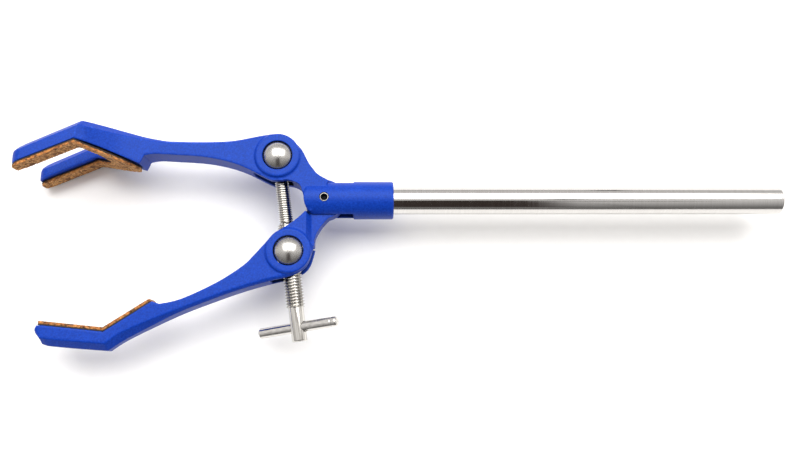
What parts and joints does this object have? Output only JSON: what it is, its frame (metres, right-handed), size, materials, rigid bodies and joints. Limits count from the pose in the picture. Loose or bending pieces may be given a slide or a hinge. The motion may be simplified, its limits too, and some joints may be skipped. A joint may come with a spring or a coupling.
{
  "type": "three finger clamp",
  "caption": "Laboratory clamp with a forked fixed jaw and a single-prong moving jaw, cork pads, a screw with a tommy bar, and a rod to hold it by.",
  "frame": {"origin": "a point on the rod's axis 50 mm from its free end, where a boss head grips the rod", "axes": "+X along the rod towards its free end; the jaws swing in the XY plane, the fixed jaw on the +Y side; the hinge and nut axes are along +Z"},
  "size_m": [0.3276, 0.0944, 0.039],
  "materials": {
    "blue_paint": "satin powder coat on a casting",
    "cork": "fine-grained agglomerated cork, matte",
    "polished_steel": "polished",
    "screw_steel": "bright, with rolled threads",
    "black_steel": "black oxide"
  },
  "bodies": {
    "frame": {"fixed_jaw": "blue_paint", "fixed_jaw_cork": "cork", "rod": "polished_steel", "hinge_screw": "black_steel"},
    "moving_jaw": {"moving_jaw": "blue_paint", "moving_jaw_cork": "cork"},
    "upper_nut": {"upper_nut": "polished_steel"},
    "lower_nut": {"lower_nut": "polished_steel"},
    "screw": {"clamp_screw": "screw_steel", "tommy_bar": "polished_steel"}
  },
  "joints": [
    {"name": "upper_nut_swivel", "type": "hinge", "parent": "frame", "child": "upper_nut", "pos_m": [-0.17016, 0.01841, 0], "axis": [0, 0, 1], "range_deg": [-18.05, 5.05]},
    {"name": "screw_turn", "type": "hinge", "parent": "upper_nut", "child": "screw", "pos_m": [-0.17016, 0.01841, 0], "axis": [-0.1288, 0.9917, 0], "range_deg": [-575, 2070]},
    {"name": "jaw_hinge", "type": "hinge", "parent": "frame", "child": "moving_jaw", "pos_m": [-0.15, 0, 0], "axis": [0, 0, 1], "range_deg": [-36.05, 10.05]},
    {"name": "lower_nut_swivel", "type": "hinge", "parent": "moving_jaw", "child": "lower_nut", "pos_m": [-0.16479, -0.02295, 0], "axis": [0, 0, 1], "range_deg": [-5.05, 18.05]}
  ],
  "couplings": [
    {"joint": "jaw_hinge", "follows": "screw_turn", "ratio": -0.01739},
    {"joint": "upper_nut_swivel", "follows": "screw_turn", "ratio": -0.008695},
    {"joint": "lower_nut_swivel", "follows": "screw_turn", "ratio": 0.008695}
  ]
}
